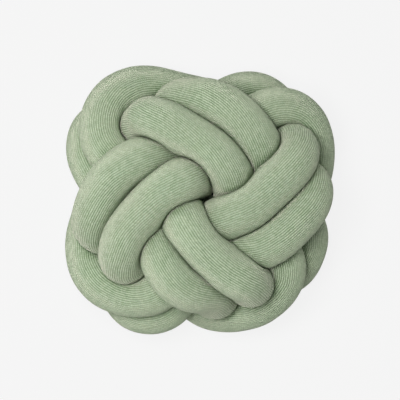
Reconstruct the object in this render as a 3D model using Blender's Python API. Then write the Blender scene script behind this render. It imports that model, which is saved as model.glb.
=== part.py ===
"""Knot cushion: one long stuffed tube of knitted cloth, plaited twice round into a flattened ball.

The tube makes two circuits side by side, each going three times round the ball and four times
over the crown.  A formula gives the plait, a table of stations lays each band where it is
seen, and short rounds of pulling draw it snug.  The tube is filled out until it meets itself.
Lengths below are in millimetres; the mesh is made in metres, +Z up, resting on z = 0.
"""
import math

import bmesh
import bpy
import numpy as np

MM = 0.001

# ---------------------------------------------------------------- the plait before it is pulled
BALL_RADIUS = 112.0      # middle surface of the plait at the equator
BALL_HALF_HEIGHT = 62.0  # middle surface of the plait at the poles
TOP_LATITUDE = 60.0      # how near to the poles the bands come, degrees
LAYER_RISE = 22.0        # a band runs this far outside or inside the middle surface
LANE_OFFSET = 23.0       # the two circuits lie this far to each side of the band's middle
BIGHT_AZIMUTH = 45.0     # the first band passes nearest the crown here, degrees
CIRCUIT = 1080.0         # turn made by one circuit, degrees
CHANGE_AT = 168.75       # hidden crossing where the tube changes from one lane to the other
CHANGE_SPAN = 50.0       # turn taken by the change of lane, degrees
END_RUN = 24.0           # turn by which each end runs on past the hidden crossing
END_DIVE = 40.0          # turn over which each end dives into the hollow
END_DEPTH = 50.0         # how deep the ends go
END_GATHER = 16.0        # turn over which each end is gathered in
END_GIRTH = 0.5          # share of the full girth left at the gathered end

# ---------------------------------------------------------------- the tube
TUBE_LENGTH = 4650.0     # whole length, end to end
TUBE_RADIUS = 26.0       # where nothing presses on it
LANE_SPACING = 46.0      # middle to middle, side by side
CROSS_SPACING = 38.0     # middle to middle, crossing square on
OWN_STRETCH = 62.0       # length of its own cloth that never counts as a neighbour
CREASE_GAP = 1.2         # clear gap in the creases
CREASE_ROUNDING = 14.0   # power of the smooth minimum; higher gives a tighter crease
BEND_SHARE = 0.85        # the inside of a bend stops at this share of the bend's radius

# ---------------------------------------------------------------- the outer shape
CROWN_HEIGHT = 71.0      # highest middle line above the centre
BASE_DEPTH = 58.0        # lowest middle line below the centre
BASE_RADIUS = 165.0      # plan radius at which the underside comes up to the equator
BASE_REACH = 100.0       # the bends that carry the cushion lie inside this plan radius
DOME_RADIUS = 175.0      # plan radius at which the dome comes down to the equator
SIDE_REACH = 134.0       # middle lines stay inside this plan radius on average
CORNER_REACH = 14.0      # and reach this much further at the four corners
REST_CUT = 4.0           # the underside is pressed flat by this much

# ---------------------------------------------------------------- mesh
POINTS = 400             # points drawn snug
SECTIONS = 300           # rings along the finished tube
SIDES = 16               # points round each ring
FINE_SECTIONS = 1200     # middle-line points used to find where the tube meets itself
FACET_CHECKS = 5         # rounds in which the flat facets are drawn clear of each other

# Turn at the middle of each band, degrees from the first bight, along one circuit.
BAND_TURN = {"upper": 0.0, "lower right": 101.25, "left": 270.0, "upper right": 371.25,
             "lower": 540.0, "upper left": 641.25, "right": 810.0, "lower left": 911.25,
             "top side": 677.0}

# Where the middle line of each band lies in plan: an arc through three stations (x, y).
STATION_COLUMNS = ("lane", "band", "first", "middle", "last")
STATIONS = (
    ("inner", "upper", (-58, 86), (-10, 70), (36, 26)),
    ("inner", "right", (109, 60), (88, 24), (39, -14)),
    ("inner", "lower", (48, -83), (16, -67), (-10, -35)),
    ("inner", "left", (-87, -68), (-75, -31), (-36, 9)),
    ("inner", "upper left", (-104, 58), (-101, 106), (-54, 127)),
    ("inner", "upper right", (76, 99), (114, 88), (125, 41)),
    ("inner", "lower right", (92, -71), (76, -106), (19, -122)),
    ("inner", "lower left", (-66, -103), (-113, -88), (-122, -37)),
    ("outer", "upper", (-8, 110), (41, 93), (62, 65)),
    ("outer", "right", (124, 4), (110, -17), (69, -53)),
    ("outer", "lower", (20, -96), (-7, -99), (-38, -60)),
    ("outer", "left", (-116, -28), (-105, 12), (-68, 43)),
    ("outer", "upper left", (-117, 37), (-125, 61), (-119, 80)),
    ("outer", "upper right", (47, 116), (66, 118), (78, 110)),
    ("outer", "lower right", (117, -46), (116, -60), (109, -71)),
    ("outer", "lower left", (-40, -120), (-56, -126), (-72, -121)),
    ("inner", "top side", (-30, 116), (-8, 115), (14, 109)),
)
STATION_STEP = 12.0      # spacing of the pulls along each arc

# Bands that are stuffed fuller than the rest: how much more girth they have.
PLUMP_COLUMNS = ("lane", "band", "more")
PLUMP = (
    ("inner", "lower", 0.08),
    ("inner", "left", 0.04),
)
PLUMP_SPAN = 60.0        # turn from the middle of a plump band to where its girth is usual

# How the plait is drawn snug, stage by stage: rounds, pull of the stations, spacing of the
# lanes, how hard the tube pushes itself apart, and how often it does so in each round.
SNUG_COLUMNS = ("rounds", "station_pull", "lane_spacing", "push", "pushes")
SNUG_STAGES = (
    (150, 0.3, LANE_SPACING - 4.0, 0.5, 6),
    (200, 0.6, LANE_SPACING, 0.5, 4),
    (150, 0.9, LANE_SPACING, 0.3, 2),
)


def unit(vectors):
    """Vectors of length one."""
    return vectors / np.maximum(np.linalg.norm(vectors, axis=-1, keepdims=True), 1e-9)


def ease(x):
    """Smooth step from 0 to 1."""
    x = np.clip(x, 0.0, 1.0)
    return x * x * (3.0 - 2.0 * x)


def rows(columns, table):
    """Table rows as dictionaries."""
    return [dict(zip(columns, row)) for row in table]


def plait(turn):
    """Middle line of the tube by formula; turn runs over both circuits, in degrees."""
    theta = np.radians(CHANGE_AT + turn)
    azimuth = math.radians(BIGHT_AZIMUTH) - theta
    latitude = math.radians(TOP_LATITUDE) * np.cos(4.0 / 3.0 * theta)
    layer = -LAYER_RISE * np.sin(8.0 / 3.0 * theta)
    east, north = np.cos(latitude) * np.cos(azimuth), np.cos(latitude) * np.sin(azimuth)
    up = np.sin(latitude)
    line = np.stack([BALL_RADIUS * east, BALL_RADIUS * north, BALL_HALF_HEIGHT * up], axis=1)
    steepness = [east / BALL_RADIUS, north / BALL_RADIUS, up / BALL_HALF_HEIGHT]
    outward = unit(np.stack(steepness, axis=1))
    sideways = unit(np.cross(unit(np.gradient(line, axis=0)), outward))
    lane = LANE_OFFSET * (1.0 - 2.0 * ease((turn - CIRCUIT) / CHANGE_SPAN + 0.5))
    from_start = turn + END_RUN
    from_finish = 2.0 * CIRCUIT + END_RUN - turn
    dive = ease(1.0 - (from_start - 14.0) / END_DIVE) + ease(1.0 - (from_finish - 14.0) / END_DIVE)
    return line + outward * (layer - END_DEPTH * dive)[:, None] + sideways * lane[:, None]


def middle_of(row):
    """Turn at the middle of a table row's band, in its own lane."""
    at = (BAND_TURN[row["band"]] - CHANGE_AT) % CIRCUIT
    return at + (CIRCUIT if row["lane"] == "outer" else 0.0)


def girth(turn):
    """Share of the full girth along the tube: plump bands are fuller, the ends gathered in."""
    share = np.ones_like(turn)
    for row in rows(PLUMP_COLUMNS, PLUMP):
        share += row["more"] * ease(1.0 - np.abs(turn - middle_of(row)) / PLUMP_SPAN)
    to_end = np.minimum(turn + END_RUN, 2.0 * CIRCUIT + END_RUN - turn)
    return share * (END_GIRTH + (1.0 - END_GIRTH) * np.clip(to_end / END_GATHER, 0.0, 1.0) ** 0.7)


def arc(first, middle, last, step):
    """Evenly spaced points on the circle through three points in plan."""
    a, b, c = (complex(*p) for p in (first, middle, last))
    w = (c - a) / (b - a)
    centre = (b - a) * (w - abs(w) ** 2) / (2j * w.imag) + a
    start, through, finish = a - centre, b - centre, c - centre
    sweep = np.angle(through / start) + np.angle(finish / through)
    count = max(2, int(round(abs(sweep) * abs(start) / step)) + 1)
    spots = centre + start * np.exp(1j * np.linspace(0.0, sweep, count))
    return np.stack([spots.real, spots.imag], axis=1)


def station_pulls(turn):
    """For each pulled spot: the stretch of tube it may pull, and its place in plan."""
    pulls = []
    for row in rows(STATION_COLUMNS, STATIONS):
        stretch = np.where(np.abs(turn - middle_of(row)) < 70.0)[0]
        for spot in arc(row["first"], row["middle"], row["last"], STATION_STEP):
            pulls.append((stretch, spot))
    return pulls


def pull_to_stations(line, pulls, strength):
    """Draw the nearest bit of each band towards its stations, in plan."""
    spread = ((-2, 0.3), (-1, 0.7), (0, 1.0), (1, 0.7), (2, 0.3))
    move = np.zeros_like(line)
    weight = np.zeros(len(line))
    for stretch, spot in pulls:
        away = spot - line[stretch, :2]
        nearest = int(np.argmin((away ** 2).sum(axis=1)))
        for step, share in spread:
            k = stretch[nearest] + step
            move[k, :2] += share * away[nearest]
            weight[k] += share
    line += strength * move / np.maximum(weight, 1.0)[:, None]


def keep_lanes_together(line, turn):
    """The two circuits go on touching, side by side."""
    first = np.where((turn > 45.0) & (turn < CIRCUIT - 45.0))[0]
    shift = int(round(CIRCUIT / (turn[1] - turn[0])))
    tries = first[:, None] + shift + np.arange(-12, 13)[None]
    apart = np.linalg.norm(line[tries] - line[first][:, None], axis=2)
    best = apart.argmin(axis=1)
    second = tries[np.arange(len(first)), best]
    distance = apart[np.arange(len(first)), best]
    slack = np.clip(distance - LANE_SPACING, 0.0, 6.0)[:, None]
    pull = 0.15 * slack * (line[second] - line[first]) / distance[:, None]
    np.add.at(line, first, pull)
    np.add.at(line, second, -pull)


def smooth(line, passes):
    """Take out sharp bends without pulling the tube short."""
    for _ in range(passes):
        bend = np.zeros_like(line)
        bend[1:-1] = (line[:-2] + line[2:]) / 2.0 - line[1:-1]
        change = np.zeros_like(line)
        change[2:-2] = (bend[1:-3] + bend[3:-1]) / 2.0 - bend[2:-2]
        line += 0.03 * bend - 0.27 * change


def push_apart(line, one, other, least, push):
    """Move bits of tube that press into each other apart."""
    across = line[one] - line[other]
    distance = np.linalg.norm(across, axis=1) + 1e-9
    hit = distance < least
    a, b = one[hit], other[hit]
    shove = across[hit] * (0.5 * push * (least[hit] - distance[hit]) / distance[hit])[:, None]
    count = np.bincount(a, minlength=len(line)) + np.bincount(b, minlength=len(line))
    for axis in range(3):
        move = np.bincount(a, shove[:, axis], len(line)) - np.bincount(b, shove[:, axis], len(line))
        line[:, axis] += 1.6 * move / np.maximum(np.sqrt(count), 1.0)


def keep_inside(line):
    """Hold the middle line in a flattened, square-cornered dome."""
    reach = np.hypot(line[:, 0], line[:, 1])
    fall = np.sqrt(np.clip(1.0 - (reach / DOME_RADIUS) ** 2, 0.02, 1.0))
    top = CROWN_HEIGHT * fall
    rise = np.sqrt(np.clip(1.0 - (reach / BASE_RADIUS) ** 2, 0.02, 1.0))
    bottom = -np.minimum(BASE_DEPTH, (BASE_DEPTH + 10.0) * rise)
    line[:, 2] -= 0.3 * np.clip(line[:, 2] - top, 0.0, None)
    line[:, 2] += 0.5 * np.clip(bottom - line[:, 2], 0.0, None)
    azimuth = np.arctan2(line[:, 1], line[:, 0])
    limit = SIDE_REACH + CORNER_REACH * np.cos(4.0 * (azimuth - math.pi / 4.0))
    line[:, :2] *= (1.0 - 0.2 * np.clip(reach - limit, 0.0, None) / reach)[:, None]


def keep_length(line, spacing):
    """Even spacing along the tube: odd and even gaps in turn."""
    for start in (0, 1):
        low, high = line[start:-1:2], line[start + 1::2]
        count = min(len(low), len(high))
        gap = high[:count] - low[:count]
        length = np.linalg.norm(gap, axis=1)
        fix = gap * (0.5 * (length - spacing) / length)[:, None]
        low[:count] += fix
        high[:count] -= fix


def draw_snug(turn):
    """Pull the plait snug: stations, smooth bends, contact, outer shape and length in turn."""
    line = plait(turn)
    spacing = TUBE_LENGTH / (len(line) - 1)
    share = girth(turn)
    pulls = station_pulls(turn)
    left, right = np.triu_indices(len(line), int(round(OWN_STRETCH / spacing)) + 1)
    for stage in rows(SNUG_COLUMNS, SNUG_STAGES):
        for turn_round in range(stage["rounds"]):
            if turn_round % 8 == 0:
                square = ((line[left] - line[right]) ** 2).sum(axis=1)
                reach = square < (stage["lane_spacing"] + 14.0) ** 2
                one, other = left[reach], right[reach]
                along = unit(np.gradient(line, axis=0))
                square_on = 1.0 - (along[one] * along[other]).sum(axis=1) ** 2
                least = 0.5 * (share[one] + share[other]) * stage["lane_spacing"]
                least -= (stage["lane_spacing"] - CROSS_SPACING) * square_on
            pull_to_stations(line, pulls, stage["station_pull"])
            keep_lanes_together(line, turn)
            smooth(line, 6)
            for _ in range(stage["pushes"]):
                push_apart(line, one, other, least, stage["push"])
                keep_inside(line)
                keep_length(line, spacing)
    return line


def level_underside(line):
    """Bring the lowest bend in each quarter of the underside down to one level."""
    azimuth = np.degrees(np.arctan2(line[:, 1], line[:, 0]))
    reach = np.hypot(line[:, 0], line[:, 1])
    lowest = []
    for quarter in (0.0, 90.0, 180.0, 270.0):
        beside = np.abs((azimuth - quarter + 180.0) % 360.0 - 180.0) < 45.0
        held = np.where(beside & (reach < BASE_REACH))[0]
        lowest.append(held[np.argmin(line[held, 2])])
    x, y, z = (line[:, axis] / BALL_RADIUS for axis in range(3))
    shape = np.stack([np.ones_like(x), x, y, x * x - y * y], axis=1)
    base = line[:, 2].min()
    drop = shape @ np.linalg.solve(shape[lowest], line[lowest, 2] - base)
    line[:, 2] -= drop * ease(line[:, 2] / base)
    return line


def resample(line, values, count):
    """Evenly spaced points on a smooth curve through the line, with values carried along."""
    ends = np.vstack([2 * line[0] - line[1], line, 2 * line[-1] - line[-2]])
    fine = 8
    s = np.linspace(0.0, 1.0, fine, endpoint=False)[None, :, None]
    p0, p1, p2, p3 = (ends[k:len(ends) - 3 + k, None] for k in range(4))
    curve = 0.5 * (2 * p1 + (p2 - p0) * s + (2 * p0 - 5 * p1 + 4 * p2 - p3) * s ** 2
                   + (3 * p1 - p0 - 3 * p2 + p3) * s ** 3)
    curve = np.vstack([curve.reshape(-1, 3), line[-1]])
    place = np.concatenate([[0.0], np.cumsum(np.linalg.norm(np.diff(curve, axis=0), axis=1))])
    wanted = np.linspace(0.0, place[-1], count)
    points = np.stack([np.interp(wanted, place, curve[:, axis]) for axis in range(3)], axis=1)
    where = np.interp(wanted, place, np.linspace(0.0, len(line) - 1.0, len(curve)))
    return points, np.interp(where, np.arange(len(line)), values), place[-1]


def carried_frames(line):
    """Tangent and two cross directions, carried along without twisting."""
    along = unit(np.gradient(line, axis=0))
    first = np.zeros_like(line)
    carried = np.array([0.0, 0.0, 1.0])
    for k, direction in enumerate(along):
        carried = carried - direction * np.dot(carried, direction)
        carried = carried / np.linalg.norm(carried)
        first[k] = carried
    return along, first, np.cross(along, first)


def meeting_room(points, spokes, place, others, other_place):
    """How far each spoke can go before it meets the halfway surface to another stretch."""
    room = np.full(spokes.shape[:2], 1e9)
    for k, point in enumerate(points):
        to_others = others - point
        square = (to_others ** 2).sum(axis=1)
        near = (np.abs(other_place - place[k]) > OWN_STRETCH) & (square < (2.6 * TUBE_RADIUS) ** 2)
        if near.any():
            facing = spokes[k] @ to_others[near].T
            meeting = np.where(facing > 1e-6, square[near] / (2.0 * np.maximum(facing, 1e-6)), 1e9)
            room[k] = meeting.min(axis=1)
    return room


def past_halfway(spots, place, others, other_place):
    """How much nearer each spot lies to another stretch than to its own middle line."""
    past = np.full(spots.shape[:2], -1e9)
    for k, ring in enumerate(spots):
        away = np.abs(other_place - place[k])
        own = others[away < OWN_STRETCH / 2.0]
        square = ((others - ring.mean(axis=0)) ** 2).sum(axis=1)
        near = (away > OWN_STRETCH) & (square < (2.6 * TUBE_RADIUS) ** 2)
        if near.any():
            to_own = np.linalg.norm(ring[:, None] - own[None], axis=2).min(axis=1)
            to_near = np.linalg.norm(ring[:, None] - others[near][None], axis=2).min(axis=1)
            past[k] = to_own - to_near
    return past


def fill_out(line, share, fine_line, sides, gap):
    """Rings round the middle line, filled out until they meet the free girth, another
    stretch of the tube, or the inside of their own bend."""
    along, first, second = carried_frames(line)
    count = len(line)
    length = np.linalg.norm(np.diff(line, axis=0), axis=1).sum()
    place = np.linspace(0.0, length, count)
    fine_place = np.linspace(0.0, length, len(fine_line))
    angle = np.linspace(0.0, 2.0 * math.pi, sides, endpoint=False)
    spoke = (first[:, None] * np.cos(angle)[None, :, None]
             + second[:, None] * np.sin(angle)[None, :, None])
    free = TUBE_RADIUS * share
    to_end = np.minimum(place, place[::-1])
    free = free * np.sqrt(np.clip(1.0 - (1.0 - np.clip(to_end / free, 0.0, 1.0)) ** 2, 0.0, 1.0))
    room = meeting_room(line, spoke, place, fine_line, fine_place) - gap / 2.0
    curving = np.gradient(along, axis=0) / (length / (count - 1))
    inward = np.maximum(np.einsum("ij,ikj->ik", curving, spoke), 1e-9)
    power = CREASE_ROUNDING
    inverse = np.repeat(1.0 / np.maximum(free, 0.5)[:, None], sides, axis=1) ** power
    inverse += np.maximum(room, 0.5) ** -power + (inward / BEND_SHARE) ** power
    radius = inverse ** (-1.0 / power)
    for _ in range(FACET_CHECKS):
        rings = line[:, None] + spoke * radius[:, :, None]
        beside = (rings + np.roll(rings, -1, axis=1)) / 2.0
        ahead = (rings[:-1] + rings[1:]) / 2.0
        centre = (beside[:-1] + beside[1:]) / 2.0
        halfway = (place[:-1] + place[1:]) / 2.0
        over_beside = np.maximum(past_halfway(beside, place, fine_line, fine_place) + gap, 0.0)
        over_ahead = np.maximum(past_halfway(ahead, halfway, fine_line, fine_place) + gap, 0.0)
        over_centre = np.maximum(past_halfway(centre, halfway, fine_line, fine_place) + gap, 0.0)
        over = np.maximum(over_beside, np.roll(over_beside, 1, axis=1))
        over_centre = np.maximum(over_centre, np.roll(over_centre, 1, axis=1))
        over_step = np.maximum(over_ahead, over_centre)
        over[:-1] = np.maximum(over[:-1], over_step)
        over[1:] = np.maximum(over[1:], over_step)
        radius = np.maximum(radius - 0.6 * over, 0.5)
    return line[:, None] + spoke * radius[:, :, None]


def rest_flat(rings):
    """Bring the underside down onto z = 0 and press it flat there."""
    floor = rings[..., 2].min() + REST_CUT
    rings[..., 2] = np.maximum(rings[..., 2], floor) - floor
    middle = (rings[..., :2].max(axis=(0, 1)) + rings[..., :2].min(axis=(0, 1))) / 2.0
    rings[..., :2] -= middle
    return rings


def tube_mesh(name, rings):
    """Closed tube from rings, in metres, with a fan at each gathered end."""
    count, sides = rings.shape[:2]
    bm = bmesh.new()
    grid = [[bm.verts.new(in_metres(p)) for p in ring] for ring in rings[1:-1]]
    for low, high in zip(grid[:-1], grid[1:]):
        for k in range(sides):
            n = (k + 1) % sides
            bm.faces.new((low[k], low[n], high[n], high[k]))
    for ring, tip, turned in ((grid[0], rings[0], False), (grid[-1], rings[-1], True)):
        point = bm.verts.new(in_metres(tip.mean(axis=0)))
        for k in range(sides):
            n = (k + 1) % sides
            corners = (ring[k], ring[n], point) if turned else (ring[n], ring[k], point)
            bm.faces.new(corners)
    bmesh.ops.triangulate(bm, faces=bm.faces, quad_method="SHORT_EDGE")
    bmesh.ops.recalc_face_normals(bm, faces=bm.faces)
    if bm.calc_volume(signed=True) < 0.0:
        bmesh.ops.reverse_faces(bm, faces=bm.faces)
    mesh = bpy.data.meshes.new(name)
    bm.to_mesh(mesh)
    bm.free()
    for face in mesh.polygons:
        face.use_smooth = True
    return mesh


def in_metres(point):
    """A point given in millimetres, in metres."""
    return tuple(float(v) * MM for v in point)


def knit_material():
    """Plain pale green cloth."""
    material = bpy.data.materials.new("knit_cloth")
    material.use_nodes = True
    shader = material.node_tree.nodes["Principled BSDF"]
    shader.inputs["Base Color"].default_value = (0.33, 0.42, 0.28, 1.0)
    shader.inputs["Roughness"].default_value = 0.9
    shader.inputs["Metallic"].default_value = 0.0
    material.diffuse_color = (0.33, 0.42, 0.28, 1.0)
    return material


def build():
    """The cushion in its own collection."""
    for item in list(bpy.data.objects):
        bpy.data.objects.remove(item, do_unlink=True)
    collection = bpy.data.collections.new("knot_cushion")
    bpy.context.scene.collection.children.link(collection)
    turn = np.linspace(-END_RUN, 2.0 * CIRCUIT + END_RUN, POINTS)
    snug = level_underside(draw_snug(turn))
    line, share, length = resample(snug, girth(turn), SECTIONS)
    fine_line = resample(snug, girth(turn), FINE_SECTIONS)[0]
    rings = rest_flat(fill_out(line, share, fine_line, SIDES, CREASE_GAP))
    mesh = tube_mesh("knotted_tube", rings)
    mesh.materials.append(knit_material())
    tube = bpy.data.objects.new("knotted_tube", mesh)
    collection.objects.link(tube)
    size = rings.reshape(-1, 3).max(axis=0) - rings.reshape(-1, 3).min(axis=0)
    print("tube length", round(length), "mm; size", np.round(size, 1), "mm;",
          len(mesh.polygons), "triangles")


build()
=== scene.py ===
# %% [markdown]
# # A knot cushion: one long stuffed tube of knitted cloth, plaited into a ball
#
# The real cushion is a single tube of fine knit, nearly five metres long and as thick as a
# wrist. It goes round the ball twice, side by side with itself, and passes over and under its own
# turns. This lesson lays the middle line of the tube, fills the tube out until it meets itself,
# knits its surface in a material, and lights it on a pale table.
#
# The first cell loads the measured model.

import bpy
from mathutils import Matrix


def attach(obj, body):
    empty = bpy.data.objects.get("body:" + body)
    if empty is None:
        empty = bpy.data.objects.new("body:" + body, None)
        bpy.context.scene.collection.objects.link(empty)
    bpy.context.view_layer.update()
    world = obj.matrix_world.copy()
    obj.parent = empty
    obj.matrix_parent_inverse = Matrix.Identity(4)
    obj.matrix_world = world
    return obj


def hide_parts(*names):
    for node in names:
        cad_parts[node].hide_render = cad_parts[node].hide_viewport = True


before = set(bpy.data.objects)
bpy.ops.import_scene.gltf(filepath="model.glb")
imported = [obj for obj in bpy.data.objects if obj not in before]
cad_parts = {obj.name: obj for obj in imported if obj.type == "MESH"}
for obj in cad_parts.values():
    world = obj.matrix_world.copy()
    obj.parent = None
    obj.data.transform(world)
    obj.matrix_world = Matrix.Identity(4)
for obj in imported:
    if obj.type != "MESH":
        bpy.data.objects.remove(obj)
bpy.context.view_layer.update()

import math

import bpy
import numpy as np
from mathutils import Vector

MM = 0.001

# %% [markdown]
# ## The plait as a formula
#
# A flat ring plait of this kind is a known knot: three turns round, four bends at the crown. Its
# middle line can be written down. The line swings between the crown and the base while it goes
# round, and a second wave, twice as quick, lifts it over one crossing and under the next. It could
# also be drawn by hand as a curve of a hundred points, but the formula is exact about what goes
# over what, and that is the part that a hand gets wrong.

# %% Sizes of the plait, in millimetres and degrees
BALL_RADIUS = 112.0      # middle surface of the plait at the equator
BALL_HALF_HEIGHT = 62.0  # middle surface of the plait at the poles
TOP_LATITUDE = 60.0      # how near to the poles the bands come
LAYER_RISE = 22.0        # a band runs this far outside or inside the middle surface
LANE_OFFSET = 23.0       # the two circuits lie this far to each side of the band's middle
BIGHT_AZIMUTH = 45.0     # the first band passes nearest the crown here
TURNS = 3                # times that one circuit goes round the ball
BIGHTS = 4               # and bends that it makes at the crown
CIRCUIT = 360.0 * TURNS  # turn made by one circuit
CHANGE_AT = 168.75       # hidden crossing where the tube changes from one lane to the other
CHANGE_SPAN = 50.0       # turn taken by the change of lane
END_RUN = 24.0           # turn by which each end runs on past the hidden crossing
END_DIVE = 40.0          # turn over which each end dives into the hollow
END_DEEP = 14.0          # turn over which each end lies at its full depth
END_DEPTH = 50.0         # how deep the ends go
END_GATHER = 16.0        # turn over which each end is gathered in
END_GIRTH = 0.5          # share of the full girth left at the gathered end
GATHER_CURVE = 0.7       # power of the curve by which the ends narrow


def unit(vectors):
    """Vectors of length one."""
    return vectors / np.maximum(np.linalg.norm(vectors, axis=-1, keepdims=True), 1e-9)


def ease(x):
    """Smooth step from 0 to 1."""
    x = np.clip(x, 0.0, 1.0)
    return x * x * (3.0 - 2.0 * x)


def plait(turn):
    """Middle line of the tube by formula; turn runs over both circuits, in degrees."""
    theta = np.radians(CHANGE_AT + turn)
    azimuth = math.radians(BIGHT_AZIMUTH) - theta
    wave = BIGHTS / TURNS * theta
    latitude = math.radians(TOP_LATITUDE) * np.cos(wave)
    layer = -LAYER_RISE * np.sin(2.0 * wave)
    east, north = np.cos(latitude) * np.cos(azimuth), np.cos(latitude) * np.sin(azimuth)
    up = np.sin(latitude)
    line = np.stack([BALL_RADIUS * east, BALL_RADIUS * north, BALL_HALF_HEIGHT * up], axis=1)
    steepness = [east / BALL_RADIUS, north / BALL_RADIUS, up / BALL_HALF_HEIGHT]
    outward = unit(np.stack(steepness, axis=1))
    sideways = unit(np.cross(unit(np.gradient(line, axis=0)), outward))
    lane = LANE_OFFSET * (1.0 - 2.0 * ease((turn - CIRCUIT) / CHANGE_SPAN + 0.5))
    from_start = turn + END_RUN - END_DEEP
    from_finish = 2.0 * CIRCUIT + END_RUN - turn - END_DEEP
    dive = ease(1.0 - from_start / END_DIVE) + ease(1.0 - from_finish / END_DIVE)
    return line + outward * (layer - END_DEPTH * dive)[:, None] + sideways * lane[:, None]


print("one circuit:", TURNS, "times round,", BIGHTS, "bends at the crown")

# %% [markdown]
# ## Where each band lies
#
# A hand-tied knot is never quite regular. Seen from above, every band of this one follows an arc
# of its own, so each has a row in a table: three places, in millimetres from the middle, that its
# middle line passes through. The bands are named by where they lie. Each has two lanes, the inner
# one nearer the crown.
#
# The stuffing is uneven as well. A second, short table names the bands that are a little plumper
# than the rest.

# %% Table of the bands
BAND_TURN = {"upper": 0.0, "lower right": 101.25, "left": 270.0, "upper right": 371.25,
             "lower": 540.0, "upper left": 641.25, "right": 810.0, "lower left": 911.25,
             "top side": 677.0}
STATION_COLUMNS = ("lane", "band", "first", "middle", "last")
STATIONS = (
    ("inner", "upper", (-58, 86), (-10, 70), (36, 26)),
    ("inner", "right", (109, 60), (88, 24), (39, -14)),
    ("inner", "lower", (48, -83), (16, -67), (-10, -35)),
    ("inner", "left", (-87, -68), (-75, -31), (-36, 9)),
    ("inner", "upper left", (-104, 58), (-101, 106), (-54, 127)),
    ("inner", "upper right", (76, 99), (114, 88), (125, 41)),
    ("inner", "lower right", (92, -71), (76, -106), (19, -122)),
    ("inner", "lower left", (-66, -103), (-113, -88), (-122, -37)),
    ("outer", "upper", (-8, 110), (41, 93), (62, 65)),
    ("outer", "right", (124, 4), (110, -17), (69, -53)),
    ("outer", "lower", (20, -96), (-7, -99), (-38, -60)),
    ("outer", "left", (-116, -28), (-105, 12), (-68, 43)),
    ("outer", "upper left", (-117, 37), (-125, 61), (-119, 80)),
    ("outer", "upper right", (47, 116), (66, 118), (78, 110)),
    ("outer", "lower right", (117, -46), (116, -60), (109, -71)),
    ("outer", "lower left", (-40, -120), (-56, -126), (-72, -121)),
    ("inner", "top side", (-30, 116), (-8, 115), (14, 109)),
)
STATION_STEP = 12.0      # spacing of the pulls along each arc
STATION_REACH = 70.0     # a station pulls on cloth within this turn of the middle of its band

# Bands that are stuffed fuller than the rest: how much more girth they have.
PLUMP_COLUMNS = ("lane", "band", "more")
PLUMP = (
    ("inner", "lower", 0.08),
    ("inner", "left", 0.04),
)
PLUMP_SPAN = 60.0        # turn from the middle of a plump band to where its girth is usual


def rows(columns, table):
    """Table rows as dictionaries."""
    return [dict(zip(columns, row)) for row in table]


def middle_of(row):
    """Turn at the middle of a table row's band, in its own lane."""
    at = (BAND_TURN[row["band"]] - CHANGE_AT) % CIRCUIT
    return at + (CIRCUIT if row["lane"] == "outer" else 0.0)


def girth(turn):
    """Share of the full girth along the tube: plump bands are fuller, the ends gathered in."""
    share = np.ones_like(turn)
    for row in rows(PLUMP_COLUMNS, PLUMP):
        share += row["more"] * ease(1.0 - np.abs(turn - middle_of(row)) / PLUMP_SPAN)
    to_end = np.minimum(turn + END_RUN, 2.0 * CIRCUIT + END_RUN - turn)
    ends_open = np.clip(to_end / END_GATHER, 0.0, 1.0)
    return share * (END_GIRTH + (1.0 - END_GIRTH) * ends_open ** GATHER_CURVE)


def arc(first, middle, last, step):
    """Evenly spaced points on the circle through three points in plan."""
    a, b, c = (complex(*p) for p in (first, middle, last))
    w = (c - a) / (b - a)
    centre = (b - a) * (w - abs(w) ** 2) / (2j * w.imag) + a
    start, through, finish = a - centre, b - centre, c - centre
    sweep = np.angle(through / start) + np.angle(finish / through)
    count = max(2, int(round(abs(sweep) * abs(start) / step)) + 1)
    spots = centre + start * np.exp(1j * np.linspace(0.0, sweep, count))
    return np.stack([spots.real, spots.imag], axis=1)


def station_pulls(turn):
    """For each pulled spot: the stretch of tube it may pull, and its place in plan."""
    pulls = []
    for row in rows(STATION_COLUMNS, STATIONS):
        stretch = np.where(np.abs(turn - middle_of(row)) < STATION_REACH)[0]
        for spot in arc(row["first"], row["middle"], row["last"], STATION_STEP):
            pulls.append((stretch, spot))
    return pulls


print("bands in the table:", len(STATIONS))

# %% [markdown]
# ## Drawing the knot snug
#
# Pulled tight, a stuffed tube finds its own place: it can't pass through itself, it won't bend
# sharply, and its length stays the same. Each of those is one short function that nudges the
# points of the middle line, and all of them act in turn a few hundred times. This is the idea of a
# cloth or rope simulation, written for one line, which is quick and comes out the same every time.
# The lengths below are in millimetres.

# %% Sizes of the tube
TUBE_LENGTH = 4650.0     # whole length, end to end
TUBE_RADIUS = 26.0       # where nothing presses on it
LANE_SPACING = 46.0      # middle to middle, side by side
CROSS_SPACING = 38.0     # middle to middle, crossing square on
OWN_STRETCH = 62.0       # length of its own cloth that never counts as a neighbour
POINTS = 400             # points drawn snug

print("points are", round(TUBE_LENGTH / (POINTS - 1), 1), "mm apart")

# %% [markdown]
# The first two nudges say where the tube goes. Each station draws the nearest bit of its band
# towards it, and takes the points beside along, so that no kink is left. The two lanes are drawn
# together wherever they have drifted apart, because the real tube lies against itself all the way.

# %% Pull towards the stations and draw the lanes together
PULL_SPREAD = ((-2, 0.3), (-1, 0.7), (0, 1.0), (1, 0.7), (2, 0.3))  # points beside, with shares
LOOSE_TURN = 45.0        # turn at each end of a circuit in which the lanes may part
PARTNER_TRIES = 12       # points to each side among which a point looks for its partner
LANE_PULL = 0.15         # share of the slack taken up in one nudge
MOST_SLACK = 6.0         # slack past this doesn't pull harder


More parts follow.
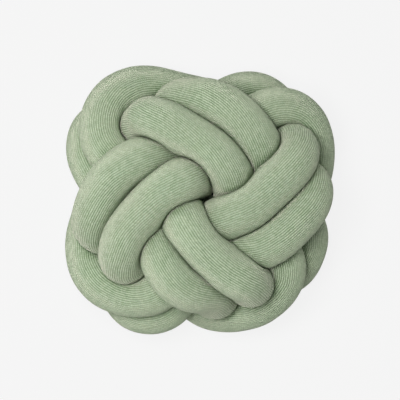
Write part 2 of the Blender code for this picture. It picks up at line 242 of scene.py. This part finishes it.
def pull_to_stations(line, pulls, strength):
    """Draw the nearest bit of each band towards its stations, in plan."""
    move = np.zeros_like(line)
    weight = np.zeros(len(line))
    for stretch, spot in pulls:
        away = spot - line[stretch, :2]
        nearest = int(np.argmin((away ** 2).sum(axis=1)))
        for step, share in PULL_SPREAD:
            k = stretch[nearest] + step
            move[k, :2] += share * away[nearest]
            weight[k] += share
    line += strength * move / np.maximum(weight, 1.0)[:, None]


def keep_lanes_together(line, turn):
    """The two circuits go on touching, side by side."""
    first = np.where((turn > LOOSE_TURN) & (turn < CIRCUIT - LOOSE_TURN))[0]
    shift = int(round(CIRCUIT / (turn[1] - turn[0])))
    tries = first[:, None] + shift + np.arange(-PARTNER_TRIES, PARTNER_TRIES + 1)[None]
    apart = np.linalg.norm(line[tries] - line[first][:, None], axis=2)
    best = apart.argmin(axis=1)
    second = tries[np.arange(len(first)), best]
    distance = apart[np.arange(len(first)), best]
    slack = np.clip(distance - LANE_SPACING, 0.0, MOST_SLACK)[:, None]
    pull = LANE_PULL * slack * (line[second] - line[first]) / distance[:, None]
    np.add.at(line, first, pull)
    np.add.at(line, second, -pull)


turn = np.linspace(-END_RUN, 2.0 * CIRCUIT + END_RUN, POINTS)
print("spots that pull:", len(station_pulls(turn)))

# %% [markdown]
# The next three nudges are the tube's own nature. It resists bending, it pushes itself apart where
# two stretches press together, and it keeps its length.

# %% Smooth it, push it apart and keep its length
STRAIGHTEN = 0.03        # how much of each bend one pass takes out
EVEN_OUT = 0.27          # how much of each change in the bend one pass takes out
PUSH_GAIN = 1.6          # pushes are a little overdone, which settles the tube sooner


def smooth(line, passes):
    """Take out sharp bends without pulling the tube short."""
    for _ in range(passes):
        bend = np.zeros_like(line)
        bend[1:-1] = (line[:-2] + line[2:]) / 2.0 - line[1:-1]
        change = np.zeros_like(line)
        change[2:-2] = (bend[1:-3] + bend[3:-1]) / 2.0 - bend[2:-2]
        line += STRAIGHTEN * bend - EVEN_OUT * change


def push_apart(line, one, other, least, push):
    """Move bits of tube that press into each other apart."""
    across = line[one] - line[other]
    distance = np.linalg.norm(across, axis=1) + 1e-9
    hit = distance < least
    a, b = one[hit], other[hit]
    shove = across[hit] * (0.5 * push * (least[hit] - distance[hit]) / distance[hit])[:, None]
    count = np.bincount(a, minlength=len(line)) + np.bincount(b, minlength=len(line))
    for axis in range(3):
        move = np.bincount(a, shove[:, axis], len(line)) - np.bincount(b, shove[:, axis], len(line))
        line[:, axis] += PUSH_GAIN * move / np.maximum(np.sqrt(count), 1.0)


def keep_length(line, spacing):
    """Even spacing along the tube: odd and even gaps in turn."""
    for start in (0, 1):
        low, high = line[start:-1:2], line[start + 1::2]
        count = min(len(low), len(high))
        gap = high[:count] - low[:count]
        length = np.linalg.norm(gap, axis=1)
        fix = gap * (0.5 * (length - spacing) / length)[:, None]
        low[:count] += fix
        high[:count] -= fix


kinked = np.zeros((9, 3))
kinked[4, 1] = 1.0
smooth(kinked, 10)
print("a kink of 1 mm after ten passes, mm:", round(kinked[4, 1], 2))

# %% [markdown]
# The last nudge holds the ball in its outer shape. The real one is a flattened ball with four soft
# corners, and its underside is flatter than its crown because it lies on it.

# %% Hold the outer shape
CROWN_HEIGHT = 71.0      # highest middle line above the centre
BASE_DEPTH = 58.0        # lowest middle line below the centre
BASE_FLATNESS = 10.0     # the underside's curve is cut off flat by this much
BASE_RADIUS = 165.0      # plan radius at which the underside comes up to the equator
DOME_RADIUS = 175.0      # plan radius at which the dome comes down to the equator
LEAST_FALL = 0.02        # keeps both curves from ending in a step at their radius
SIDE_REACH = 134.0       # middle lines stay inside this plan radius on average
CORNER_REACH = 14.0      # and reach this much further at the four corners
TOP_PRESS = 0.3          # share of what sticks out that one nudge presses back, at the top
BASE_PRESS = 0.5         # at the base
SIDE_PRESS = 0.2         # and at the sides


def keep_inside(line):
    """Hold the middle line in a flattened, square-cornered dome."""
    reach = np.hypot(line[:, 0], line[:, 1])
    fall = np.sqrt(np.clip(1.0 - (reach / DOME_RADIUS) ** 2, LEAST_FALL, 1.0))
    top = CROWN_HEIGHT * fall
    rise = np.sqrt(np.clip(1.0 - (reach / BASE_RADIUS) ** 2, LEAST_FALL, 1.0))
    bottom = -np.minimum(BASE_DEPTH, (BASE_DEPTH + BASE_FLATNESS) * rise)
    line[:, 2] -= TOP_PRESS * np.clip(line[:, 2] - top, 0.0, None)
    line[:, 2] += BASE_PRESS * np.clip(bottom - line[:, 2], 0.0, None)
    azimuth = np.arctan2(line[:, 1], line[:, 0])
    limit = SIDE_REACH + CORNER_REACH * np.cos(4.0 * (azimuth - math.pi / 4.0))
    line[:, :2] *= (1.0 - SIDE_PRESS * np.clip(reach - limit, 0.0, None) / reach)[:, None]


print("dome over the middle line, mm:", CROWN_HEIGHT + BASE_DEPTH)

# %% [markdown]
# Now all the nudges act in turn, in three stages: loose at first, so that the bands can slide past
# each other, and firmer later. Which bits of tube lie near each other is looked up only now and
# then, because that is the slow part.

# %% Draw it snug
SNUG_COLUMNS = ("rounds", "station_pull", "lane_spacing", "push", "pushes")
SNUG_STAGES = (
    (150, 0.3, LANE_SPACING - 4.0, 0.5, 6),
    (200, 0.6, LANE_SPACING, 0.5, 4),
    (150, 0.9, LANE_SPACING, 0.3, 2),
)
LOOK_EVERY = 8           # rounds between two looks for neighbours
LOOK_MARGIN = 14.0       # how much further than the spacing a look reaches
SMOOTH_PASSES = 6        # in each round


def neighbours(line, pairs, share, lane_spacing):
    """Bits of tube that lie near each other, and how far apart each pair has to stay."""
    left, right = pairs
    square = ((line[left] - line[right]) ** 2).sum(axis=1)
    reach = square < (lane_spacing + LOOK_MARGIN) ** 2
    one, other = left[reach], right[reach]
    along = unit(np.gradient(line, axis=0))
    square_on = 1.0 - (along[one] * along[other]).sum(axis=1) ** 2
    least = 0.5 * (share[one] + share[other]) * lane_spacing
    least -= (lane_spacing - CROSS_SPACING) * square_on
    return one, other, least


def draw_snug(turn):
    """Pull the plait snug: stations, smooth bends, contact, outer shape and length in turn."""
    line = plait(turn)
    spacing = TUBE_LENGTH / (len(line) - 1)
    share = girth(turn)
    pulls = station_pulls(turn)
    pairs = np.triu_indices(len(line), int(round(OWN_STRETCH / spacing)) + 1)
    for stage in rows(SNUG_COLUMNS, SNUG_STAGES):
        for turn_round in range(stage["rounds"]):
            if turn_round % LOOK_EVERY == 0:
                one, other, least = neighbours(line, pairs, share, stage["lane_spacing"])
            pull_to_stations(line, pulls, stage["station_pull"])
            keep_lanes_together(line, turn)
            smooth(line, SMOOTH_PASSES)
            for _ in range(stage["pushes"]):
                push_apart(line, one, other, least, stage["push"])
                keep_inside(line)
                keep_length(line, spacing)
    return line


snug_line = draw_snug(turn)
print("middle line spans, mm:", np.round(np.ptp(snug_line, axis=0)))

# %% [markdown]
# The cushion lies on its back, so its weight rests on the lowest bends. Left as they are, one of
# them would touch before the others and the cushion would rock. A gentle warp of the underside
# brings the lowest bend of each quarter down to one level.

# %% Level the underside
BASE_REACH = 100.0       # the bends that carry the cushion lie inside this plan radius
QUARTERS = (0.0, 90.0, 180.0, 270.0)


def level_underside(line):
    """Bring the lowest bend in each quarter of the underside down to one level."""
    azimuth = np.degrees(np.arctan2(line[:, 1], line[:, 0]))
    reach = np.hypot(line[:, 0], line[:, 1])
    lowest = []
    for quarter in QUARTERS:
        beside = np.abs((azimuth - quarter + 180.0) % 360.0 - 180.0) < 45.0
        held = np.where(beside & (reach < BASE_REACH))[0]
        lowest.append(held[np.argmin(line[held, 2])])
    x, y = (line[:, axis] / BALL_RADIUS for axis in range(2))
    shape = np.stack([np.ones_like(x), x, y, x * x - y * y], axis=1)
    base = line[:, 2].min()
    drop = shape @ np.linalg.solve(shape[lowest], line[lowest, 2] - base)
    line[:, 2] -= drop * ease(line[:, 2] / base)
    return line


snug_line = level_underside(snug_line)
print("lowest middle line, mm:", round(snug_line[:, 2].min(), 1))

# %% [markdown]
# ## Filling the tube out
#
# Stuffing presses the cloth outwards until something stops it: its own free girth, another stretch
# of the tube, or the inside of its own bend. From each place on the middle line, spokes go out in
# sixty-four directions, and each spoke stops at whichever of the three it meets first. Two
# stretches that press together then lie flat against each other, less than a millimetre apart, as
# in the real cushion. A cloth simulation with pressure would give the same flats, but with the
# stretches so close its collisions are slow and easily snag.
#
# Each point also remembers how snug it lies against its neighbour. The knit uses that further on,
# to paint shade into the colour down in the creases.
#
# First the middle line is drawn again through many more points. Two directions square to it are
# carried along, so that the spokes don't spin about it.

# %% A smooth line, with frames carried along it
SECTIONS = 1500          # rings along the finished tube
FINE_SECTIONS = 3000     # middle-line points used to find where the tube meets itself
CURVE_STEPS = 8          # points of the smooth curve for each point drawn snug


def resample(line, values, count):
    """Evenly spaced points on a smooth curve through the line, with values carried along."""
    ends = np.vstack([2 * line[0] - line[1], line, 2 * line[-1] - line[-2]])
    s = np.linspace(0.0, 1.0, CURVE_STEPS, endpoint=False)[None, :, None]
    p0, p1, p2, p3 = (ends[k:len(ends) - 3 + k, None] for k in range(4))
    curve = 0.5 * (2 * p1 + (p2 - p0) * s + (2 * p0 - 5 * p1 + 4 * p2 - p3) * s ** 2
                   + (3 * p1 - p0 - 3 * p2 + p3) * s ** 3)
    curve = np.vstack([curve.reshape(-1, 3), line[-1]])
    place = np.concatenate([[0.0], np.cumsum(np.linalg.norm(np.diff(curve, axis=0), axis=1))])
    wanted = np.linspace(0.0, place[-1], count)
    points = np.stack([np.interp(wanted, place, curve[:, axis]) for axis in range(3)], axis=1)
    where = np.interp(wanted, place, np.linspace(0.0, len(line) - 1.0, len(curve)))
    return points, np.interp(where, np.arange(len(line)), values), place[-1]


def carried_frames(line):
    """Tangent and two cross directions, carried along without twisting."""
    along = unit(np.gradient(line, axis=0))
    first = np.zeros_like(line)
    carried = np.array([0.0, 0.0, 1.0])
    for k, direction in enumerate(along):
        carried = carried - direction * np.dot(carried, direction)
        carried = carried / np.linalg.norm(carried)
        first[k] = carried
    return along, first, np.cross(along, first)


line, share, tube_length = resample(snug_line, girth(turn), SECTIONS)
fine_line = resample(snug_line, girth(turn), FINE_SECTIONS)[0]
print("tube length, mm:", round(tube_length))

# %% [markdown]
# Knitted cloth twists a little as it is stuffed, so its columns of stitches lean to the tube. The
# lean isn't the same everywhere: in the photo it is strongest on the upper band. The spokes turn
# along the tube to match.

# %% Twist of the cloth
CLOTH_LEAN = 6.0         # the stitch columns lean this much to the tube on average, degrees
MOST_LEAN_AT = (BAND_TURN["upper"] - CHANGE_AT) % CIRCUIT  # and twice as much on the upper band


def twisted(turn, length):
    """How far the cloth has twisted round the tube at each ring, in radians."""
    swing = 1.0 + np.cos(np.radians(turn - MOST_LEAN_AT) * 360.0 / CIRCUIT)
    lean = np.tan(np.radians(CLOTH_LEAN * swing))
    return np.cumsum(lean) * length / len(turn) / TUBE_RADIUS


twist = twisted(np.linspace(turn[0], turn[-1], SECTIONS), tube_length)
print("twist from end to end, turns:", round(twist[-1] / (2.0 * math.pi), 1))

# %% [markdown]
# Halfway between two stretches of tube lies the surface where they meet. A spoke that points
# towards a neighbour can go as far as that surface, and one that points into the open can go on
# for ever. The three limits of a spoke are then joined by a smooth minimum, which rounds the edge
# of each flat a little, as cloth does.

# %% Fill the tube out
SIDES = 64               # points round each ring
CREASE_GAP = 0.9         # clear gap in the creases
CREASE_ROUNDING = 18.0   # power of the smooth minimum; higher gives a tighter crease
BEND_SHARE = 0.85        # the inside of a bend stops at this share of the bend's radius
BEND_RINGS = 5           # and heeds the sharpest bend among this many rings to each side
SNUG_REACH = 2.5         # the snugness of a crease fades over about this distance
LOOK_OUT = 2.6           # neighbours further off than this many tube radii don't matter
LEAST_RADIUS = 0.5       # a spoke never gets shorter than this
OPEN_AIR = 1e9           # room of a spoke that meets nothing


def meeting_room(points, spokes, place, others, other_place):
    """How far each spoke can go before it meets the halfway surface to another stretch."""
    room = np.full(spokes.shape[:2], OPEN_AIR)
    look_out = (LOOK_OUT * TUBE_RADIUS) ** 2
    for k, point in enumerate(points):
        to_others = others - point
        square = (to_others ** 2).sum(axis=1)
        near = (np.abs(other_place - place[k]) > OWN_STRETCH) & (square < look_out)
        if near.any():
            facing = spokes[k] @ to_others[near].T
            meeting = square[near] / (2.0 * np.maximum(facing, 1e-6))
            room[k] = np.where(facing > 1e-6, meeting, OPEN_AIR).min(axis=1)
    return room


def bend_of(along, spoke, spacing):
    """How sharply the tube bends towards each spoke, at the sharpest ring nearby."""
    curving = np.gradient(along, axis=0) / spacing
    bending = np.maximum(np.einsum("ij,ikj->ik", curving, spoke), 1e-9)
    steps = range(-BEND_RINGS, BEND_RINGS + 1)
    return np.max([np.roll(bending, step, axis=0) for step in steps], axis=0)


def fill_out(line, share, twist, fine_line):
    """Rings round the middle line, filled out until they meet the free girth, another
    stretch of the tube, or the inside of their own bend; and how snug each point lies."""
    along, first, second = carried_frames(line)
    length = np.linalg.norm(np.diff(line, axis=0), axis=1).sum()
    place = np.linspace(0.0, length, len(line))
    fine_place = np.linspace(0.0, length, len(fine_line))
    angle = twist[:, None] + np.linspace(0.0, 2.0 * math.pi, SIDES, endpoint=False)[None]
    spoke = (first[:, None] * np.cos(angle)[:, :, None]
             + second[:, None] * np.sin(angle)[:, :, None])
    free = TUBE_RADIUS * share
    to_end = np.minimum(place, place[::-1])
    free = free * np.sqrt(np.clip(1.0 - (1.0 - np.clip(to_end / free, 0.0, 1.0)) ** 2, 0.0, 1.0))
    free = np.repeat(np.maximum(free, LEAST_RADIUS)[:, None], SIDES, axis=1)
    room = meeting_room(line, spoke, place, fine_line, fine_place) - CREASE_GAP / 2.0
    inward = bend_of(along, spoke, length / (len(line) - 1))
    power = CREASE_ROUNDING
    inverse = (1.0 / free) ** power
    inverse += np.maximum(room, LEAST_RADIUS) ** -power + (inward / BEND_SHARE) ** power
    radius = inverse ** (-1.0 / power)
    snug = np.exp(-np.maximum(room - radius, 0.0) / SNUG_REACH)
    return line[:, None] + spoke * radius[:, :, None], snug


rings, snug = fill_out(line, share, twist, fine_line)
print("share of the cloth that lies snug:", round(float((snug > 0.5).mean()), 2))

# %% [markdown]
# Last, the underside is brought down onto the table and pressed flat where it touches.

# %% Rest it on the table
REST_CUT = 4.0           # the underside is pressed flat by this much


def rest_flat(rings):
    """Bring the underside down onto z = 0 and press it flat there."""
    floor = rings[..., 2].min() + REST_CUT
    rings[..., 2] = np.maximum(rings[..., 2], floor) - floor
    middle = (rings[..., :2].max(axis=(0, 1)) + rings[..., :2].min(axis=(0, 1))) / 2.0
    rings[..., :2] -= middle
    return rings


rings = rest_flat(rings)
print("size, mm:", np.round(np.ptp(rings, axis=(0, 1)), 1))

# %% [markdown]
# ## Cutting, rolling and sewing the cloth
#
# The cloth starts flat, as it came off the knitting machine: a strip as long as the tube and as
# wide as it is round. A grid primitive is just that, and it brings a UV map that runs straight
# along and across the knit. Each column of points is then moved onto its ring, which rolls the
# strip up, and merging the doubled points sews the long edges together and gathers the two ends.


# %% Cut the strip
def deselect_all():
    """Nothing selected, so that the next operator acts only on what it is given."""
    for item in bpy.context.selected_objects:
        item.select_set(False)


def strip_of_cloth(name, sections, sides):
    """A flat grid, one column of points for each ring and one row more than the sides."""
    deselect_all()
    bpy.ops.mesh.primitive_grid_add(x_subdivisions=sections - 1, y_subdivisions=sides, size=1.0)
    strip = bpy.context.object
    strip.name = strip.data.name = name
    strip.data.uv_layers[0].name = "cloth"
    return strip


cushion = strip_of_cloth("knit_tube", SECTIONS, SIDES)
print("strip of cloth, faces:", len(cushion.data.polygons))

# %% [markdown]
# The strip is nearly thirty times as long as it is wide, so on a square picture its map would be
# stretched. A second map for baking cuts it into five rows and lays them one above the other.
# While the strip is flat, each point also gets its note of how snug it will lie.

# %% Map it for baking and note the snug places
BAKE_ROWS = 5
ROW_MARGIN = 0.03        # clear share of a row above and below the cloth
END_MARGIN = 0.002       # and at its two ends


def bake_rows(mesh):
    """A second map that lays the long strip in rows, one above the other, for baking."""
    flat = np.empty(len(mesh.loops) * 2, dtype=np.float32)
    mesh.uv_layers[0].uv.foreach_get("vector", flat)
    corners = flat.reshape(-1, 4, 2)
    row = np.floor(corners[..., 0].mean(axis=1) * BAKE_ROWS)[:, None]
    along = END_MARGIN + (1.0 - 2.0 * END_MARGIN) * (corners[..., 0] * BAKE_ROWS - row)
    across = (row + ROW_MARGIN + (1.0 - 2.0 * ROW_MARGIN) * corners[..., 1]) / BAKE_ROWS
    layer = mesh.uv_layers.new(name="OFBake")
    layer.uv.foreach_set("vector", np.stack([along, across], axis=2).ravel())


def note_snugness(mesh, snug):
    """Each point of the strip remembers how snug it will lie against the next turn."""
    layer = mesh.attributes.new("snug", "FLOAT", "POINT")
    layer.data.foreach_set("value", np.concatenate([snug, snug[:, :1]], axis=1).T.ravel())


bake_rows(cushion.data)
note_snugness(cushion.data, snug)
print("maps on the cloth:", [layer.name for layer in cushion.data.uv_layers])

# %% [markdown]
# Rolling the strip up only moves its points. The first and last columns are drawn together to one
# spot each, which gathers the ends, and the doubled points are then merged in edit mode.

# %% Roll it up and sew it
SEW_DISTANCE = 1e-6      # points nearer to each other than this are sewn together, m


def roll_up(strip, rings):
    """Move the strip's points onto the rings, then sew the long edges and gather the ends."""
    mesh = strip.data
    spots = np.concatenate([rings, rings[:, :1]], axis=1)
    spots[0], spots[-1] = spots[0].mean(axis=0), spots[-1].mean(axis=0)
    spots = spots.transpose(1, 0, 2).reshape(-1, 3) * MM
    mesh.vertices.foreach_set("co", spots.astype(np.float32).ravel())
    mesh.update()
    bpy.ops.object.mode_set(mode="EDIT")
    bpy.ops.mesh.select_all(action="SELECT")
    bpy.ops.mesh.remove_doubles(threshold=SEW_DISTANCE)
    bpy.ops.mesh.normals_make_consistent(inside=False)
    bpy.ops.object.mode_set(mode="OBJECT")
    bpy.ops.object.shade_smooth()


roll_up(cushion, rings)
print("sewn tube, faces:", len(cushion.data.polygons), "points:", len(cushion.data.vertices))

# %% [markdown]
# ## The knit
#
# Seen close, the cloth is a fine plain knit. Columns of stitches, called wales, run along the
# tube about two and a half millimetres apart, and each stitch is a small V. The grooves between
# wales lie in shade and read as thin darker lines. A UV pattern suits this, because the lines have
# to follow the tube round every bend. The depth is bump, since a stitch is about as small as a
# face of the mesh. A slow noise makes the columns wander, and another tints the cloth in patches.
#
# The small class below lets the pattern be written as ordinary sums.

# %% Sums for shaders


class Sum:
    """A value in a material that can be added, multiplied and so on."""

    def __init__(self, recipe, socket):
        self.recipe, self.socket = recipe, socket

    def maths(self, operation, first, second=None):
        inputs = {0: first} if second is None else {0: first, 1: second}
        return self.recipe.node("Math", {"operation": operation}, inputs)

    def __add__(self, other):
        return self.maths("ADD", self, other)

    def __radd__(self, other):
        return self.maths("ADD", other, self)

    def __sub__(self, other):
        return self.maths("SUBTRACT", self, other)

    def __rsub__(self, other):
        return self.maths("SUBTRACT", other, self)

    def __mul__(self, other):
        return self.maths("MULTIPLY", self, other)

    def __rmul__(self, other):
        return self.maths("MULTIPLY", other, self)

    def __pow__(self, other):
        return self.maths("POWER", self, other)

    def __abs__(self):
        return self.maths("ABSOLUTE", self)

    def sine(self):
        return self.maths("SINE", self)

    def part(self):
        """What is left past the last whole number."""
        return self.maths("FRACT", self)

    def whole(self):
        """The whole number below."""
        return self.maths("FLOOR", self)


class Recipe:
    """The nodes of a material or a world, and the one way that they are made."""

    def __init__(self, owner):
        owner.use_nodes = True
        self.tree = owner.node_tree
        self.tree.nodes.clear()

    def node(self, kind, settings=None, inputs=None, output=0):
        """Adds a node: its settings first, then the values or links of its sockets."""
        made = self.tree.nodes.new("ShaderNode" + kind)
        for key, value in (settings or {}).items():
            setattr(made, key, value)
        for key, value in (inputs or {}).items():
            if isinstance(value, Sum):
                self.tree.links.new(value.socket, made.inputs[key])
            else:
                made.inputs[key].default_value = value
        return Sum(self, made.outputs[output]) if len(made.outputs) else None

    def blend(self, share, low, high):
        """One colour turning into another."""
        inputs = {0: share, 6: low, 7: high}
        return self.node("Mix", {"data_type": "RGBA"}, inputs, output=2)


# %% Where the stitches lie
WALES = 64               # columns of stitches round the tube
COURSE = 0.0022          # length of one stitch along the tube, m
WANDER_SCALE = 60.0      # noise that moves the columns, per metre
WANDER = 0.6             # a column wanders by up to this share of its width
SLANT = 0.5              # the arms of a stitch's V run back by this share of its length
STAGGER = 0.5            # and each column starts this share of a stitch after the one beside it

knit = bpy.data.materials.new("sage_knit")
recipe = Recipe(knit)
uv = recipe.node("UVMap", {"uv_map": "cloth"})
along = recipe.node("SeparateXYZ", inputs={0: uv}, output=0)
around = recipe.node("SeparateXYZ", inputs={0: uv}, output=1)
place = recipe.node("TexCoord", output=3)
wander = recipe.node("TexNoise", inputs={"Vector": place, "Scale": WANDER_SCALE, "Detail": 2.0})
column = around * WALES + wander * WANDER
off_centre = abs(column.part() * 2.0 - 1.0)
stitches = along * (tube_length * MM / COURSE) + off_centre * SLANT + column.whole() * STAGGER
print("stitches in one column:", round(tube_length * MM / COURSE))

# %% [markdown]
# The height of the cloth comes from two waves. Each column is rounded from side to side, and each
# stitch of it rises and falls a little. Fuzz from the yarn is laid over that. The colour follows
# the height as painted shade: a deep green in the grooves and sage on top. Each stitch's yarn is
# a little lighter or darker than the next, and painted shade deepens the cloth where it lies snug
# in a crease.

# %% Height and colour of the stitches
LOOP_RELIEF = 0.32       # share of a column's height that rises and falls with each stitch
FUZZ_SCALE = 1200.0      # noise of the yarn's fuzz, per metre
PATCH_SCALE = 22.0       # noise of the patches of tint, per metre
GROOVE_PAINTED_SHADE = 0.66      # top of a column lighter than its groove: painted groove shade
YARN_SHADE = 0.25        # how much one stitch may be lighter than the next
FUZZ_SHADE = 0.55        # how much the fuzz lightens and darkens the cloth
PAINTED_CREASE_SHADE = 0.50      # how much painted shade deepens the cloth in a crease
SHADE = 0.225            # how deep the whole cloth is
PATCH_TINT = 0.4         # how strongly patches of the cloth turn olive
YARN_TINT = 0.08         # and single stitches
SAGE = (0.54, 0.648, 0.465, 1.0)
# Painted shade in the grooves and creases turns the cloth towards this deep green.
DEEP_SAGE = (0.067, 0.163, 0.045, 1.0)
OLIVE_SAGE = (0.50, 0.53, 0.39, 1.0)

loop = (stitches.part() * math.pi).sine()
height = (1.0 - off_centre ** 2.0) * (1.0 - LOOP_RELIEF + LOOP_RELIEF * loop)
cell = recipe.node("CombineXYZ", inputs={0: column.whole(), 1: stitches.whole()})
yarn = recipe.node("TexWhiteNoise", {"noise_dimensions": "2D"}, {"Vector": cell})
fuzz = recipe.node("TexNoise", inputs={"Vector": place, "Scale": FUZZ_SCALE, "Detail": 3.0})
patch = recipe.node("TexNoise", inputs={"Vector": place, "Scale": PATCH_SCALE, "Detail": 3.0})
# Painted shade: the colour is deepened where the cloth lies snug in a crease.
crease_shade_mask = recipe.node("Attribute", {"attribute_name": "snug"}, output=2)
# Painted shade: the grooves between the columns are coloured darker than their tops.
light = height * GROOVE_PAINTED_SHADE + yarn * YARN_SHADE + fuzz * FUZZ_SHADE
tone = recipe.blend(light - SHADE - crease_shade_mask * PAINTED_CREASE_SHADE, DEEP_SAGE, SAGE)
tinted = recipe.blend(patch * PATCH_TINT + yarn * YARN_TINT, tone, OLIVE_SAGE)
print("nodes for height and colour:", len(recipe.tree.nodes))

# %% [markdown]
# Cloth has no shine of its own, but the fibres that stand off it catch the light at the edges. That
# is the sheen, in a warm pale tint. The finished material goes onto the tube. The part of the
# measured model that the tube replaces is hidden, and the tube rides on the root body.

# %% Dress the tube
STITCH_DEPTH = 0.0011    # height of the bump, m
FUZZ_DEPTH = 0.25        # share of it that the fuzz adds

relief = height + fuzz * FUZZ_DEPTH
bump = recipe.node("Bump", inputs={"Strength": 1.0, "Distance": STITCH_DEPTH, "Height": relief})
surface = recipe.node("BsdfPrincipled", inputs={
    "Base Color": tinted, "Roughness": 0.92, "Normal": bump, "Sheen Weight": 0.45,
    "Sheen Roughness": 0.25, "Sheen Tint": (0.97, 0.88, 0.78, 1.0), "Specular IOR Level": 0.15})
recipe.node("OutputMaterial", inputs={"Surface": surface})
cushion.data.materials.clear()
cushion.data.materials.append(knit)

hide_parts("knotted_tube")
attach(cushion, "root")
print("knit nodes:", len(recipe.tree.nodes))

# %% [markdown]
# ## Table, light and camera
#
# The cushion lies on a plain white table that glows, as for a catalogue picture, so that it casts
# almost no shadow. Under the cushion the table is dark, or its light would shine out of the hole at
# the crown. One large soft lamp hangs overhead, a little to the left, and a weak one stands low at
# the left. The room is bright low down and dim above, which lights the rounded edges and leaves the
# creases dark. The camera looks straight down from far away through a long lens, so the sides of
# the ball don't lean out.


# %% Table
TABLE_SIDE = 6.0         # m
TABLE_GREY = (0.05, 0.05, 0.05, 1.0)
GLOW = 0.86              # brightness of the table's own light
GLOW_STARTS = 0.05       # the table is dark within this distance of the middle, m
GLOW_FULL = 0.085        # and glows fully from here on, still under the cushion
BLACK = (0.0, 0.0, 0.0, 1.0)
WHITE = (1.0, 1.0, 1.0, 1.0)


def glowing_table_top():
    """A pale surface that glows softly, but not where the cushion covers it."""
    table_top = bpy.data.materials.new("pale_table")
    recipe = Recipe(table_top)
    place = recipe.node("TexCoord", output=3)
    reach = recipe.node("VectorMath", {"operation": "LENGTH"}, {0: place}, output=1)
    glow = recipe.node("MapRange", {"interpolation_type": "SMOOTHSTEP"}, {
        "Value": reach, "From Min": GLOW_STARTS, "From Max": GLOW_FULL})
    surface = recipe.node("BsdfPrincipled", inputs={
        "Base Color": TABLE_GREY, "Roughness": 0.9, "Specular IOR Level": 0.0,
        "Emission Color": recipe.blend(glow, BLACK, WHITE), "Emission Strength": GLOW})
    recipe.node("OutputMaterial", inputs={"Surface": surface})
    return table_top


def plain_table():
    """A wide plane at z = 0."""
    deselect_all()
    bpy.ops.mesh.primitive_plane_add(size=TABLE_SIDE, location=(0.0, 0.0, 0.0))
    table = bpy.context.object
    table.name = table.data.name = "pale_table"
    table.data.materials.append(glowing_table_top())
    return table


plain_table()
print("table side, m:", TABLE_SIDE)

# %% Lamps
LAMP_COLUMNS = ("name", "spot", "aim", "size", "power")
LAMPS = (
    ("lamp_key", (-0.38, 0.15, 2.2), (0.0, 0.0, 0.05), 0.8, 50.0),
    ("lamp_left", (-1.5, -0.8, 0.9), (0.0, 0.0, 0.08), 1.0, 3.5),
)


def soft_lamp(name, spot, aim, size, power):
    """A square area lamp at a spot, turned to face its aim."""
    lamp = bpy.data.lights.new(name, "AREA")
    lamp.size = size
    lamp.energy = power
    holder = bpy.data.objects.new(name, lamp)
    bpy.context.scene.collection.objects.link(holder)
    holder.location = spot
    holder.rotation_euler = (Vector(aim) - Vector(spot)).to_track_quat("-Z", "Y").to_euler()


for lamp_row in rows(LAMP_COLUMNS, LAMPS):
    soft_lamp(**lamp_row)
print("lamps:", [name for name, *_ in LAMPS])

# %% Room
WALL_LIGHT = 1.8         # brightness of the room at table height
WALL_TOP = 0.30          # sine of the height above which only the ceiling is seen
CEILING_LIGHT = 0.02     # brightness of the room overhead


def pale_room():
    """Surroundings that are bright low down, like pale walls, and dim overhead."""
    room = bpy.data.worlds.new("pale_room")
    recipe = Recipe(room)
    towards = recipe.node("TexCoord", output=0)
    height = recipe.node("SeparateXYZ", inputs={0: towards}, output=2)
    light = recipe.node("MapRange", {"interpolation_type": "SMOOTHSTEP"}, {
        "Value": height, "From Min": 0.0, "From Max": WALL_TOP,
        "To Min": WALL_LIGHT, "To Max": CEILING_LIGHT})
    background = recipe.node("Background", inputs={"Color": WHITE, "Strength": light})
    recipe.node("OutputWorld", inputs={"Surface": background})
    return room


bpy.context.scene.world = pale_room()
bpy.context.scene.view_settings.view_transform = "Standard"
print("the walls are", round(WALL_LIGHT / CEILING_LIGHT), "times as bright as the ceiling")

# %% Camera
CAMERA_HEIGHT = 5.0      # m above the table
VIEW_WIDTH = 0.446       # m across the picture at the cushion's middle height
MIDDLE_HEIGHT = 0.085    # m above the table
SENSOR = 36.0            # mm
FARTHEST = 50.0          # nothing is seen past this distance, m

lens = bpy.data.cameras.new("camera")
lens.sensor_width = SENSOR
lens.lens = SENSOR * (CAMERA_HEIGHT - MIDDLE_HEIGHT) / VIEW_WIDTH
lens.clip_end = FARTHEST
camera = bpy.data.objects.new("camera", lens)
camera.location = (0.0, 0.0, CAMERA_HEIGHT)
bpy.context.scene.collection.objects.link(camera)
bpy.context.scene.camera = camera
print("lens, mm:", round(lens.lens))
